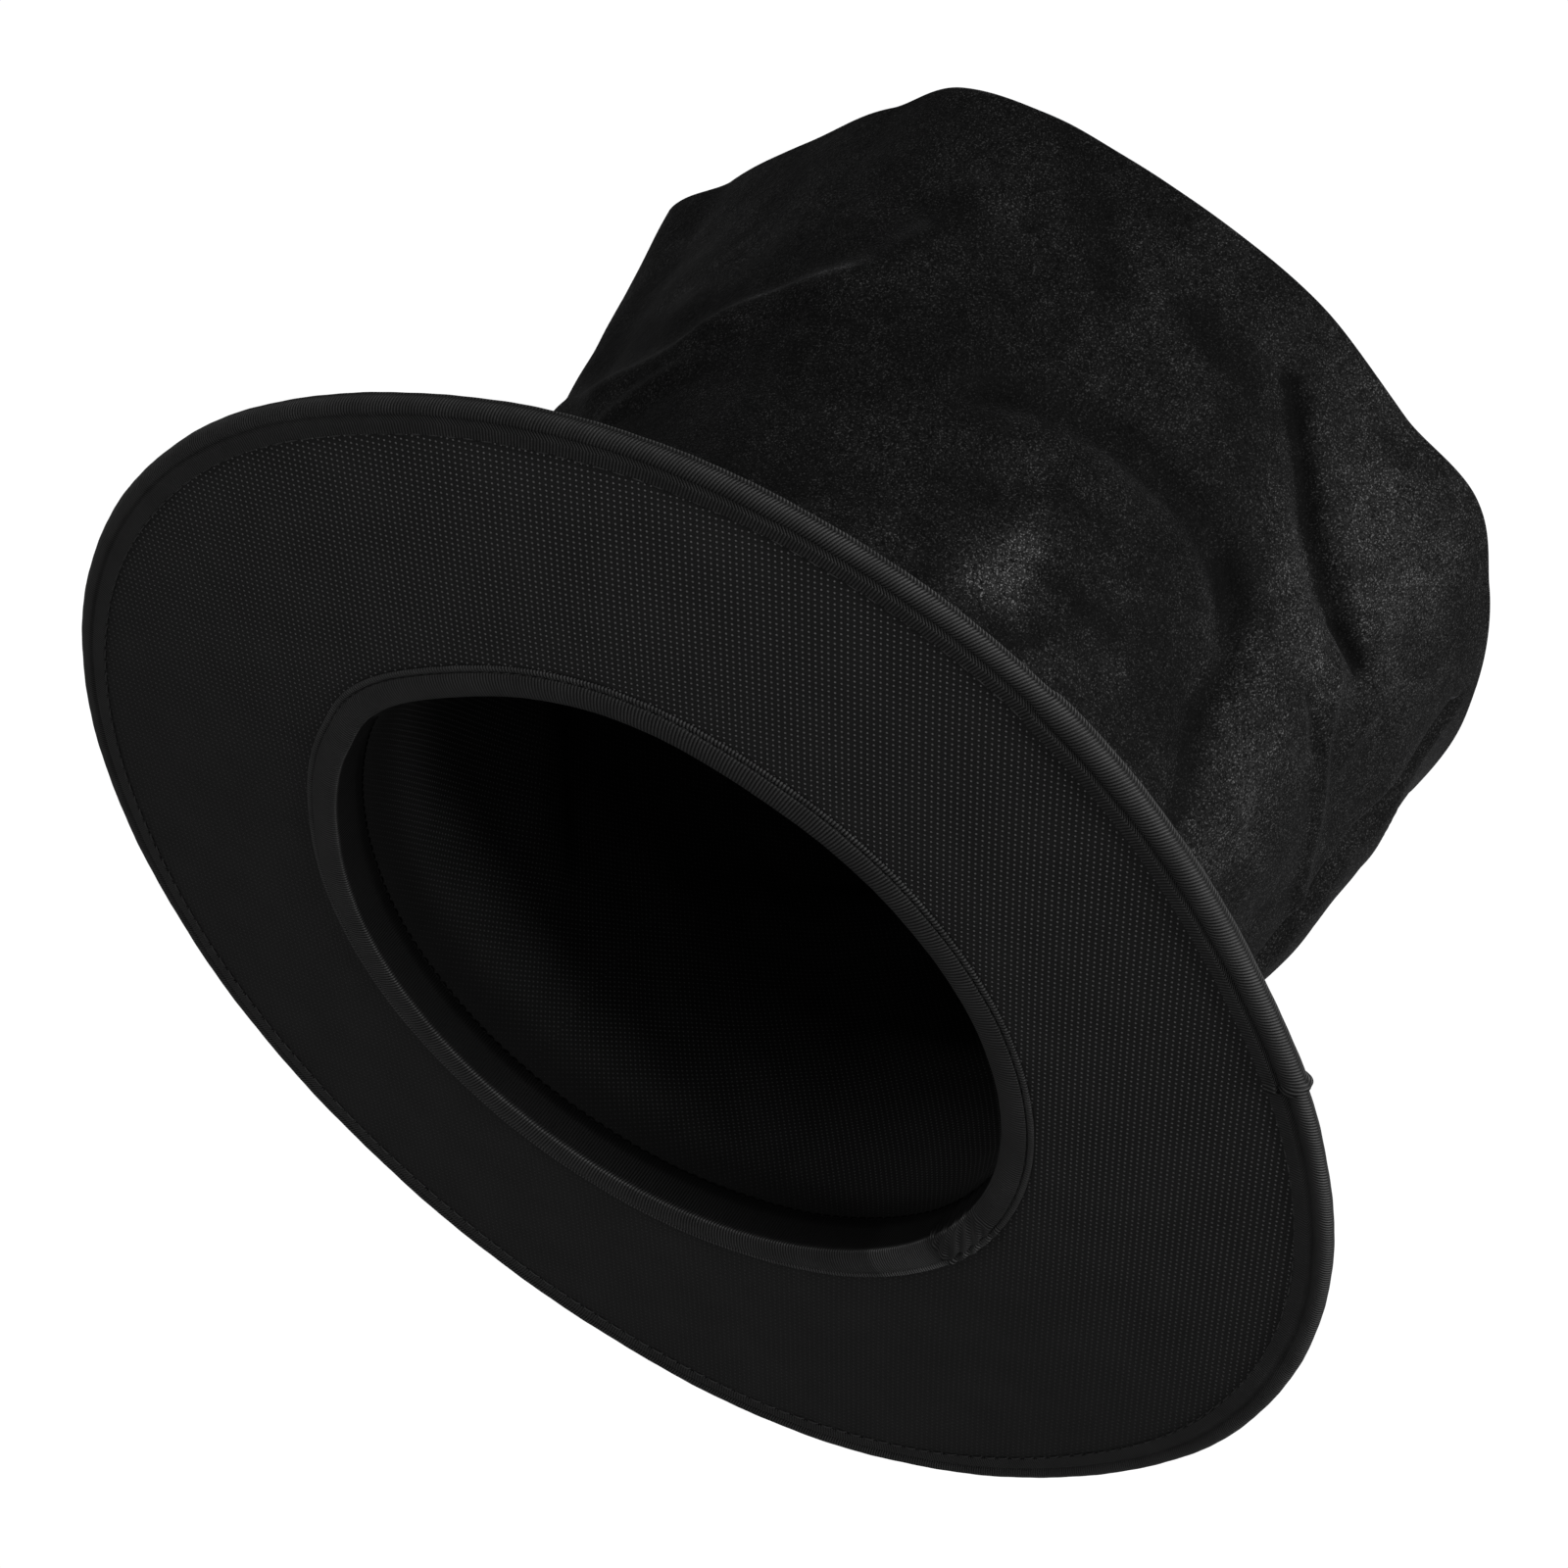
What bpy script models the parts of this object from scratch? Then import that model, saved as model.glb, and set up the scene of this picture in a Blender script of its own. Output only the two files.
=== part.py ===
"""A top hat of soft cloth: a tall crown that flares to a wide flat tip, on a round flat brim.

+Z is up with the crown on top, +Y is the front, and the hat stands on the underside of its brim. Every round
piece is turned about Z and then made oval, longer from front to back. Lengths in this file are millimetres.
"""

import math

import bmesh
import bpy

SEGMENTS = 60
FULL = 2 * math.pi
BACK = 1.5 * math.pi  # direction of the crown's back seam, seen from above

# Mean half-lengths of the ovals; the half-length differs from the mean by OVAL_* along and across
OPENING_HALF = 94.0
BRIM_HALF = 177.5
TIP_HALF = 130.5
OVAL_BRIM = 2.2
OVAL_TIP = 10.5
RIM_HEIGHT = 216.0
TIP_RISE = 3.0
COLLAR_TOP = 16.0  # the crown is upright below this height and flares above it
FLARE_POWER = 1.25

# Cloth and board
GAP = 0.3
TAPE = 0.5
VELVET = 0.7
STIFFENER = 1.5
LINING = 0.4
BOARD = 1.6
UNDER_CLOTH = 0.5
CORD_RADIUS = 1.5
THREAD_RADIUS = 0.2
SEAM_THREAD_RADIUS = 0.25

# Bindings
EDGE_FLANGE = 9.0
HEAD_FLANGE = 10.0
HEAD_COLLAR = 13.0
LAP = TAPE + GAP  # how far the second layer of a lapped tape stands off the first
EDGE_LAP = (math.radians(179.5), math.radians(36.0))  # where it starts, and how far it runs on
HEAD_LAP = (math.radians(258.5), math.radians(13.0))
STEP_UP = math.radians(4.0)

SEAM_FLAP = 8.0
SEAM_WINDOW = 10.0  # the crown's stiffener stops this far each side of the back seam
TIP_SKIRT = 8.0

# Heights of the brim's layers, from the ground up
TAPE_LOW = LAP
CLOTH_LOW = TAPE_LOW + TAPE + GAP
BOARD_LOW = CLOTH_LOW + UNDER_CLOTH + GAP
BRIM_VELVET_LOW = BOARD_LOW + BOARD + GAP
TAPE_HIGH = BRIM_VELVET_LOW + VELVET + GAP + TAPE
EDGE_RADIUS = (TAPE_HIGH - TAPE_LOW) / 2
EDGE_MIDDLE = TAPE_LOW + EDGE_RADIUS

# Depths from the crown's outer face, going in
STIFFENER_DEPTH = VELVET + GAP
LINING_DEPTH = STIFFENER_DEPTH + STIFFENER + GAP
CROWN_WALL = LINING_DEPTH + LINING + GAP + TAPE
CROWN_BASE = OPENING_HALF + CROWN_WALL
LEVELS = (COLLAR_TOP, 45.0, 85.0, 125.0, 170.0)

BLACK_VELVET = ((0.012, 0.012, 0.013), 0.85)
BLACK_NONWOVEN = ((0.02, 0.02, 0.021), 0.7)
BLACK_RIBBON = ((0.015, 0.015, 0.016), 0.45)
BLACK_THREAD = ((0.02, 0.02, 0.02), 0.5)
GREY_FELT = ((0.10, 0.10, 0.10), 0.9)
GREY_BOARD = ((0.16, 0.15, 0.14), 0.8)
BLACK_CORD = ((0.03, 0.03, 0.03), 0.35)


def clear_scene():
    for obj in list(bpy.data.objects):
        bpy.data.objects.remove(obj)


def new_collection(name):
    collection = bpy.data.collections.new(name)
    bpy.context.scene.collection.children.link(collection)
    return collection


def material(name, look, metallic=0.0):
    colour, roughness = look
    made = bpy.data.materials.new(name)
    made.use_nodes = True
    shader = made.node_tree.nodes["Principled BSDF"]
    shader.inputs["Base Color"].default_value = (*colour, 1)
    shader.inputs["Roughness"].default_value = roughness
    shader.inputs["Metallic"].default_value = metallic
    return made


def flare(height):
    """0 at the collar, 1 at the rim."""
    return min(1.0, max(0.0, (height - COLLAR_TOP) / (RIM_HEIGHT - COLLAR_TOP)))


def crown_radius(height, depth=0.0):
    """Mean radius of the crown wall, this far in from its outer face."""
    return CROWN_BASE + (TIP_HALF - CROWN_BASE) * flare(height) ** FLARE_POWER - depth


def oval_point(radius, angle, height):
    """A turned point moved onto the hat's oval, in metres."""
    stretch = OVAL_BRIM + (OVAL_TIP - OVAL_BRIM) * flare(height)
    stretch *= min(1.0, radius / OPENING_HALF)
    x = (radius - stretch) * math.cos(angle) + LAP / 2
    y = (radius + stretch) * math.sin(angle)
    return (x / 1000, y / 1000, height / 1000)


def add_object(name, mesh, finish, smooth=True):
    obj = bpy.data.objects.new(name, mesh)
    hat.objects.link(obj)
    obj.data.materials.append(finish)
    for face in obj.data.polygons:
        face.use_smooth = smooth
    return obj


def applied(obj):
    """The object's mesh with its modifiers applied."""
    graph = bpy.context.evaluated_depsgraph_get()
    mesh = bpy.data.meshes.new_from_object(obj.evaluated_get(graph))
    old = obj.data
    obj.modifiers.clear()
    obj.data = mesh
    bpy.data.meshes.remove(old)
    return obj


def turned(name, profile, finish, closed=True):
    """A profile of (radius, height) points turned about Z by Screw, then made oval. A profile that isn't closed
    runs from the axis out and back to the axis."""
    mesh = bpy.data.meshes.new(name)
    count = len(profile)
    edges = [(i, (i + 1) % count) for i in range(count if closed else count - 1)]
    mesh.from_pydata([(r, 0.0, z) for r, z in profile], edges, [])
    obj = add_object(name, mesh, finish)
    screw = obj.modifiers.new("turn", "SCREW")
    screw.axis = "Z"
    screw.angle = FULL
    screw.steps = screw.render_steps = SEGMENTS
    screw.use_merge_vertices = True
    screw.merge_threshold = 0.0001
    screw.use_smooth_shade = True
    applied(obj)
    for vertex in obj.data.vertices:
        x, y, z = vertex.co
        vertex.co = oval_point(math.hypot(x, y), math.atan2(y, x), z)
    facing_out(obj)
    return obj


def facing_out(obj):
    bm = bmesh.new()
    bm.from_mesh(obj.data)
    bmesh.ops.recalc_face_normals(bm, faces=bm.faces)
    bm.to_mesh(obj.data)
    bm.free()
    obj.data.update()


def ring(name, inner, outer, low, high, finish):
    return turned(name, [(inner, high), (outer, high), (outer, low), (inner, low)], finish)


def cord_ring(name, radius, height, thickness, finish, sides=5):
    around = [FULL * i / sides for i in range(sides)]
    profile = [(radius + thickness * math.cos(a), height - thickness * math.sin(a)) for a in around]
    return turned(name, profile, finish)


def sleeve(name, depth, thickness, low, high, finish):
    """A tube that follows the crown's wall, this far in from its outer face."""
    levels = [low, *(z for z in LEVELS if low < z < high), high]
    outside = [(crown_radius(z, depth), z) for z in reversed(levels)]
    inside = [(crown_radius(z, depth + thickness), z) for z in levels]
    return turned(name, outside + inside, finish)


def dome(radius):
    """How far the tip rises above the rim at this radius."""
    return TIP_RISE * (1 - (radius / TIP_HALF) ** 2)


def disc(name, radius, top, thickness, finish):
    """A thin domed disc; top is its height at the rim, under the same dome as the tip."""
    steps = [radius * share for share in (0.0, 0.45, 0.8, 1.0)]
    upper = [(r, top + dome(r)) for r in steps]
    lower = [(r, top - thickness + dome(r)) for r in reversed(steps)]
    return turned(name, upper + lower, finish, closed=False)


def side_panel(finish):
    """The crown's velvet side: one panel whose two ends meet at the back and turn in as seam allowances. The
    allowances stop below the tip's turned-down edge."""
    flap_top = RIM_HEIGHT - TIP_SKIRT - GAP
    levels = [CLOTH_LOW, *LEVELS, flap_top, RIM_HEIGHT - 0.5]
    fold = (VELVET + GAP) / 2  # mean radius of the turn at each end, and its distance from the seam
    turn = [math.pi * k / 4 for k in (4, 3, 2, 1, 0)]
    end = [(SEAM_FLAP, 2 * fold)]  # (distance from the seam, depth)
    end += [(fold * (2 - math.sin(a)), fold * (1 - math.cos(a))) for a in turn]
    whole = [BACK + FULL * i / SEGMENTS for i in range(1, SEGMENTS)]
    rows = []
    for z in levels:
        middle = crown_radius(z, VELVET / 2)
        row = [oval_point(middle - deep, BACK + away / middle, z) for away, deep in end]
        row += [oval_point(middle, a, z) for a in whole]
        row += [oval_point(middle - deep, BACK - away / middle, z) for away, deep in reversed(end)]
        rows.append(row)
    wide = len(rows[0])
    flap = len(end) - 1
    faces = []
    for k, z in enumerate(levels[:-1]):
        columns = range(wide - 1) if z < flap_top else range(flap, wide - 1 - flap)
        faces += [(k * wide + i, k * wide + i + 1, (k + 1) * wide + i + 1, (k + 1) * wide + i) for i in columns]
    mesh = bpy.data.meshes.new("crown_side_velvet")
    mesh.from_pydata([p for row in rows for p in row], [], faces)
    loose = bmesh.new()
    loose.from_mesh(mesh)
    bmesh.ops.delete(loose, geom=[v for v in loose.verts if not v.link_faces], context="VERTS")
    loose.to_mesh(mesh)
    loose.free()
    obj = add_object("crown_side_velvet", mesh, finish)
    solidify = obj.modifiers.new("cloth", "SOLIDIFY")
    solidify.thickness = VELVET / 1000
    solidify.offset = 0.0
    solidify.use_even_offset = True
    applied(obj)
    facing_out(obj)
    return obj


def lapped_tape(name, section, lap, finish):
    """A tape run once round the hat and on over its own start. section(stand_off) gives its cross-section."""
    start, extra = lap
    step = FULL / SEGMENTS
    angles = [start + i * step for i in range(SEGMENTS)]
    angles = [a for a in angles if a < start + FULL - STEP_UP - 0.02]
    angles += [start + FULL - STEP_UP, start + FULL]
    more = max(2, round(extra / step))
    angles += [start + FULL + extra * i / more for i in range(1, more + 1)]
    bm = bmesh.new()
    loops = []
    for angle in angles:
        raised = min(1.0, max(0.0, (angle - start - FULL + STEP_UP) / STEP_UP))
        loops.append([bm.verts.new(oval_point(r, angle, z)) for r, z in section(raised * LAP)])
    count = len(loops[0])
    for one, two in zip(loops, loops[1:]):
        for i in range(count):
            j = (i + 1) % count
            bm.faces.new((one[i], one[j], two[j], two[i]))
    bmesh.ops.holes_fill(bm, edges=[e for e in bm.edges if e.is_boundary])
    bmesh.ops.recalc_face_normals(bm, faces=bm.faces)
    mesh = bpy.data.meshes.new(name)
    bm.to_mesh(mesh)
    bm.free()
    return add_object(name, mesh, finish)


def bent(centreline, thickness):
    """The closed outline of a strip whose outer face follows centreline's points, thickness to their left."""
    inner = []
    last = len(centreline) - 1
    for i, (r, z) in enumerate(centreline):
        before, after = centreline[max(0, i - 1)], centreline[min(last, i + 1)]
        along = (after[0] - before[0], after[1] - before[1])
        length = math.hypot(*along)
        inner.append((r - along[1] / length * thickness, z + along[0] / length * thickness))
    return centreline + inner[::-1]


def edge_section(stand_off):
    """A U round the brim's edge, open towards the crown, from its underside out and back over the top."""
    radius = EDGE_RADIUS + stand_off
    centre = BRIM_HALF - EDGE_RADIUS
    inner_edge = BRIM_HALF - EDGE_FLANGE
    turn = [-math.pi / 2 + math.pi * k / 6 for k in range(7)]
    face = [(inner_edge, TAPE_LOW - stand_off)]
    face += [(centre + radius * math.cos(a), EDGE_MIDDLE + radius * math.sin(a)) for a in turn]
    face += [(inner_edge, TAPE_HIGH + stand_off)]
    return bent(face, TAPE)


def head_section(stand_off):
    """An L in the head opening: flat under the brim, round the corner and up inside the crown."""
    corner = 1.2
    low = TAPE_LOW - stand_off
    inside = OPENING_HALF - stand_off
    turn = [math.pi + math.pi / 2 * k / 3 for k in range(4)]
    face = [(inside, HEAD_COLLAR)]
    face += [(inside + corner + corner * math.cos(a), low + corner + corner * math.sin(a)) for a in turn]
    face += [(OPENING_HALF + HEAD_FLANGE, low)]
    return bent(face, TAPE)


clear_scene()
hat = new_collection("top_hat")
helpers = new_collection("helpers")

velvet = material("crushed_velvet", BLACK_VELVET)
nonwoven = material("dotted_nonwoven", BLACK_NONWOVEN)
ribbon = material("ribbed_tape", BLACK_RIBBON)
thread = material("sewing_thread", BLACK_THREAD)
felt = material("crown_felt", GREY_FELT)
stiff_board = material("brim_board", GREY_BOARD)
plastic_cord = material("plastic_cord", BLACK_CORD)

# Brim, from the under cloth up
brim_inner = CROWN_BASE + GAP
board_edge = BRIM_HALF - TAPE - 0.4 - 2 * CORD_RADIUS - GAP
cord_radius = board_edge + GAP + CORD_RADIUS
ring("brim_under_cloth", brim_inner, board_edge, CLOTH_LOW, CLOTH_LOW + UNDER_CLOTH, nonwoven)
ring("brim_board", brim_inner, board_edge, BOARD_LOW, BOARD_LOW + BOARD, stiff_board)
ring("brim_top_velvet", brim_inner, board_edge, BRIM_VELVET_LOW, BRIM_VELVET_LOW + VELVET, velvet)
cord_ring("brim_edge_cord", cord_radius, EDGE_MIDDLE, CORD_RADIUS, plastic_cord, sides=8)
lapped_tape("edge_binding", edge_section, EDGE_LAP, ribbon)
edge_thread = BRIM_HALF - EDGE_FLANGE - GAP - THREAD_RADIUS
cord_ring("edge_thread_under", edge_thread, CLOTH_LOW - GAP - THREAD_RADIUS, THREAD_RADIUS, thread)
top_thread = BRIM_VELVET_LOW + VELVET + GAP + THREAD_RADIUS
cord_ring("edge_thread_top", edge_thread, top_thread, THREAD_RADIUS, thread)

# Crown, from the outside in
side_panel(velvet)
stiffener_top = RIM_HEIGHT - TIP_SKIRT - 2.0
stiffener = sleeve("crown_side_stiffener", STIFFENER_DEPTH, STIFFENER, CLOTH_LOW, stiffener_top, felt)
bpy.ops.mesh.primitive_cube_add(size=1)
window = bpy.context.object
window.name = "seam_window"
window.dimensions = (2 * SEAM_WINDOW / 1000, 0.12, 0.5)
window.location = (LAP / 2000, -0.12, 0.1)
window.display_type = "WIRE"
window.hide_render = True
for collection in list(window.users_collection):
    collection.objects.unlink(window)
helpers.objects.link(window)
cut = stiffener.modifiers.new("seam window", "BOOLEAN")
cut.operation = "DIFFERENCE"
cut.solver = "EXACT"
cut.object = window

tip_low = RIM_HEIGHT - VELVET
felt_top = tip_low - GAP
tip_lining_top = felt_top - STIFFENER - GAP
lining_top = tip_lining_top - LINING - GAP - 0.1
sleeve("crown_side_lining", LINING_DEPTH, LINING, CLOTH_LOW, lining_top, nonwoven)

# The tip is a lid whose edge turns down inside the side panel
skirt_depth = VELVET + GAP
skirt_end = RIM_HEIGHT - TIP_SKIRT
lid_edge = crown_radius(RIM_HEIGHT, skirt_depth)
corner = 1.5
lid = [(share * (lid_edge - corner), RIM_HEIGHT + dome(share * lid_edge)) for share in (0, 0.45, 0.8, 1)]
for turn in (math.pi / 4, math.pi / 2):
    down = RIM_HEIGHT - corner * (1 - math.cos(turn))
    lid += [(crown_radius(down, skirt_depth) - corner * (1 - math.sin(turn)), down)]
lid += [(crown_radius(skirt_end, skirt_depth), skirt_end)]
lid += [(crown_radius(skirt_end, skirt_depth + VELVET), skirt_end)]
lid += [(crown_radius(tip_low - 1, skirt_depth + VELVET), tip_low - 1)]
lid += [(share * (lid_edge - corner), tip_low + dome(share * lid_edge)) for share in (1, 0.8, 0.45, 0)]
turned("crown_tip_velvet", lid, velvet, closed=False)
inside_skirt = crown_radius(RIM_HEIGHT, skirt_depth + VELVET + GAP) - 0.4
disc("crown_tip_stiffener", inside_skirt, felt_top, STIFFENER, felt)
disc("crown_tip_lining", crown_radius(lining_top, LINING_DEPTH + LINING), tip_lining_top, LINING, nonwoven)
cord_ring("tip_seam_thread", crown_radius(RIM_HEIGHT - 5, skirt_depth + VELVET + GAP) - SEAM_THREAD_RADIUS,
          tip_lining_top - SEAM_THREAD_RADIUS, SEAM_THREAD_RADIUS, thread)

# Back seam's stitching, up the inside of the two allowances
seam = bpy.data.curves.new("back_seam_thread", "CURVE")
seam.dimensions = "3D"
seam.bevel_depth = THREAD_RADIUS / 1000
seam.bevel_resolution = 0
seam.use_fill_caps = True
line = seam.splines.new("POLY")
seam_levels = [CLOTH_LOW + 1, *LEVELS, stiffener_top]
seam_depth = 2 * VELVET + 2 * GAP + THREAD_RADIUS
line.points.add(len(seam_levels) - 1)
for point, z in zip(line.points, seam_levels):
    point.co = (*oval_point(crown_radius(z, seam_depth), BACK, z), 1)
add_curve = bpy.data.objects.new("back_seam_thread", seam)
hat.objects.link(add_curve)
seam.materials.append(thread)

# Join of crown and brim, and the tape that covers it
cord_ring("crown_brim_thread", brim_inner + SEAM_THREAD_RADIUS, top_thread, SEAM_THREAD_RADIUS, thread)
lapped_tape("head_binding", head_section, HEAD_LAP, ribbon)
head_thread = OPENING_HALF + HEAD_FLANGE + GAP + THREAD_RADIUS
cord_ring("head_thread_under", head_thread, CLOTH_LOW - GAP - THREAD_RADIUS, THREAD_RADIUS, thread)
collar_thread = OPENING_HALF + TAPE - THREAD_RADIUS
cord_ring("head_thread_inner", collar_thread, HEAD_COLLAR + GAP + THREAD_RADIUS, THREAD_RADIUS, thread)
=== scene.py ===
"""The top hat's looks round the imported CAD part: crushed velvet, dotted nonwoven, ribbed tape and stitches.

Lengths are millimetres inside this script and metres in the meshes. Angles are directions seen from above,
measured from +X towards +Y, so 90 is the front, 180 the wearer's left and 270 the back.
"""

import math

import bmesh  # noqa: E402
import bpy  # noqa: E402
import numpy as np  # noqa: E402
from mathutils import Matrix, Vector, noise  # noqa: E402


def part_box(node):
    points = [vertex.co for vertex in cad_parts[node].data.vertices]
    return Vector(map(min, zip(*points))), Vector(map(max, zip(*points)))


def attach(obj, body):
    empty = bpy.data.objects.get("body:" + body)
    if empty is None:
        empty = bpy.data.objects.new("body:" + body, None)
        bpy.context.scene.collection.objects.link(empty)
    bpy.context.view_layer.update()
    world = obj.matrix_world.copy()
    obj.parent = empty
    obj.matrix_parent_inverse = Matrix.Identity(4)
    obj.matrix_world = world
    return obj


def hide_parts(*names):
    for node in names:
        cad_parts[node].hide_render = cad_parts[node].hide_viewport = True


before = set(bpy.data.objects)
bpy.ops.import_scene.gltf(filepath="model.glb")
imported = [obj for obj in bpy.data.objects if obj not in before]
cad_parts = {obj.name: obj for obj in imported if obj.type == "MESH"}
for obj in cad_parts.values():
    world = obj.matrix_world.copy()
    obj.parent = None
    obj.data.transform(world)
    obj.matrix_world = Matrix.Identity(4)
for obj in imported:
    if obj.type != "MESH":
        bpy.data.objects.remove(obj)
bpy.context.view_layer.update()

MM = 0.001
FULL = 2 * math.pi


def size_of(node):
    low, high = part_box(node)
    return (np.array(low) / MM, np.array(high) / MM)


_, edge_high = size_of("edge_binding")
board_low, board_high = size_of("brim_board")
side_low, side_high = size_of("crown_side_velvet")

CENTRE_X = (board_low[0] + board_high[0]) / 2
TAPE_OUTSIDE = 3.6  # from the board's edge to the tape's outer face
BRIM_LONG = edge_high[1] + 0.6  # half-lengths of the brim's outline
BRIM_WIDE = (board_high[0] - board_low[0]) / 2 + TAPE_OUTSIDE
OPEN_LONG, OPEN_WIDE = 95.9, 92.1  # half-lengths of the head opening
RIM_LONG, RIM_WIDE = (side_high[1] - side_low[1]) / 2, (side_high[0] - side_low[0]) / 2
RIM_HEIGHT = side_high[2] + 5.8  # the crest over the tip's seam

MIDDLE = 5.6  # height of the brim's middle plane over the ground
SADDLE = 2.5  # the brim's edge dips this much front and back, and lifts at the sides
OPENING_TILT = 0.038  # the head opening is a little lower at the front
BRIM_LAYERS = {"cloth": (-2.2, -1.7), "board": (-1.3, 0.7), "velvet": (1.0, 1.8)}  # about the middle plane


# ---------------------------------------------------------------- shapes


def smooth(t):
    t = np.clip(t, 0, 1)
    return t * t * (3 - 2 * t)


def oval_radius(angle, wide, long):
    return 1 / np.sqrt((np.cos(angle) / wide) ** 2 + (np.sin(angle) / long) ** 2)


def ripple(angle, seed, waves=((2, 0.5), (3, 1.0), (5, 0.6), (7, 0.4), (11, 0.25))):
    """A fixed gentle unevenness round the hat, about -1 to 1."""
    total = 0 * angle
    for k, (n, size) in enumerate(waves):
        total = total + size * np.sin(n * angle + seed * 1.7 + k * 2.1 * seed)
    return total / 1.6


def brim_height(angle, share):
    """Height of the brim's middle plane; share is 0 at the head opening and 1 at the edge."""
    y = np.sin(angle) * OPEN_LONG
    at_opening = -OPENING_TILT * y
    at_edge = SADDLE * np.cos(2 * angle)
    base = at_opening + (at_edge - at_opening) * share
    edge_wave = 0.55 * ripple(angle, 1.3) * share
    middle_wave = 0.5 * ripple(angle, 4.1) * np.sin(math.pi * np.clip(share, 0, 1))
    return MIDDLE + base + (edge_wave + middle_wave)


def brim_share(r, angle):
    inner = opening_radius(angle)
    outer = oval_radius(angle, BRIM_WIDE, BRIM_LONG)
    return (r - inner) / (outer - inner)


def periodic(table, angle):
    """A smooth curve round the hat through (direction, value) pairs."""
    pairs = sorted((d % 360, v) for d, v in table)
    xs = np.array([p[0] for p in pairs] + [pairs[0][0] + 360]) * math.pi / 180
    ys = np.array([p[1] for p in pairs] + [pairs[0][1]])
    a = np.mod(angle - xs[0], FULL) + xs[0]
    k = np.clip(np.searchsorted(xs, a, side="right") - 1, 0, len(xs) - 2)
    t = (a - xs[k]) / (xs[k + 1] - xs[k])
    before, after = ys[(k - 1) % (len(ys) - 1)], ys[(k + 2) % (len(ys) - 1)]
    m0, m1 = (ys[k + 1] - before) / 2 * 0.8, (after - ys[k]) / 2 * 0.8
    h = t * t * (3 - 2 * t)
    return ys[k] * (1 - h) + ys[k + 1] * h + m0 * (t ** 3 - 2 * t * t + t) + m1 * (t ** 3 - t * t)


# How far the brim's edge stands in or out of its oval, by direction
BRIM_PULL = ((20, -3), (45, -3.5), (75, -1), (105, 0), (125, -1), (150, 0), (180, 0),
             (205, -2), (220, 0), (240, 2), (260, 1), (280, -1.5), (310, 0), (340, -1))


def edge_radius(angle):
    return oval_radius(angle, BRIM_WIDE, BRIM_LONG) + periodic(BRIM_PULL, angle)


# How far the opening's edge stands out of its oval: it is squarer at the front left
OPENING_PULL = ((60, 0), (85, 3), (95, 4.5), (115, 2), (140, 2.5), (165, 0), (240, 0), (300, 0), (360, 0))


def opening_radius(angle):
    return oval_radius(angle, OPEN_WIDE, OPEN_LONG) + periodic(OPENING_PULL, angle)


def ring_points(angles, offsets, heights, guide):
    """A section's points carried round the guide's curve: offsets out from it, heights over the brim."""
    a = angles[:, None]
    r = guide(a) + offsets[None, :]
    z = heights[None, :] + brim_height(a, brim_share(r, a))
    return np.stack([r * np.cos(a) + CENTRE_X, r * np.sin(a), z + 0 * r], axis=-1)


def mesh_grid(name, points, wrap_u=True, wrap_v=False, uv=None, cap_ends=False):
    """A grid of quads through points[u][v], in millimetres."""
    nu, nv = points.shape[:2]
    u = np.arange(nu if wrap_u else nu - 1)
    v = np.arange(nv if wrap_v else nv - 1)
    uu, vv = np.meshgrid(u, v, indexing="ij")
    u1, v1 = (uu + 1) % nu, (vv + 1) % nv
    faces = np.stack([uu * nv + vv, u1 * nv + vv, u1 * nv + v1, uu * nv + v1], axis=-1).reshape(-1, 4)
    mesh = bpy.data.meshes.new(name)
    mesh.vertices.add(nu * nv)
    mesh.vertices.foreach_set("co", (points.reshape(-1, 3) * MM).astype(np.float32).ravel())
    total = len(faces)
    mesh.loops.add(total * 4)
    mesh.loops.foreach_set("vertex_index", faces.astype(np.int32).ravel())
    mesh.polygons.add(total)
    mesh.polygons.foreach_set("loop_start", (np.arange(total) * 4).astype(np.int32))
    mesh.polygons.foreach_set("loop_total", np.full(total, 4, np.int32))
    if uv is not None:
        layer = mesh.uv_layers.new(name="UVMap")
        cu, cv = uv
        tu = np.stack([uu, uu + 1, uu + 1, uu], axis=-1).reshape(-1)
        tv = np.stack([vv, vv, vv + 1, vv + 1], axis=-1).reshape(-1)
        layer.data.foreach_set("uv", np.stack([cu[tu, tv], cv[tu, tv]], axis=-1).astype(np.float32).ravel())
    mesh.update(calc_edges=True)
    mesh.polygons.foreach_set("use_smooth", np.ones(total, bool))
    if cap_ends:
        bm = bmesh.new()
        bm.from_mesh(mesh)
        bmesh.ops.holes_fill(bm, edges=[e for e in bm.edges if e.is_boundary])
        bm.to_mesh(mesh)
        bm.free()
    obj = bpy.data.objects.new(name, mesh)
    bpy.context.scene.collection.objects.link(obj)
    return obj


def face_out(obj):
    bm = bmesh.new()
    bm.from_mesh(obj.data)
    bmesh.ops.recalc_face_normals(bm, faces=bm.faces)
    bm.to_mesh(obj.data)
    bm.free()
    return obj


def paint(obj, name, values):
    """Stores one number per point for the material to read."""
    layer = obj.data.attributes.new(name, "FLOAT", "POINT")
    layer.data.foreach_set("value", values.astype(np.float32).ravel())
    return obj


def plan_uv(points):
    """Metres over the ground, so a pattern lies flat on the brim."""
    x = np.pad(points[..., 0] * MM, ((0, 1), (0, 1)), mode="wrap")
    y = np.pad(points[..., 1] * MM, ((0, 1), (0, 1)), mode="wrap")
    return x, y


# ---------------------------------------------------------------- materials


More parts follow.
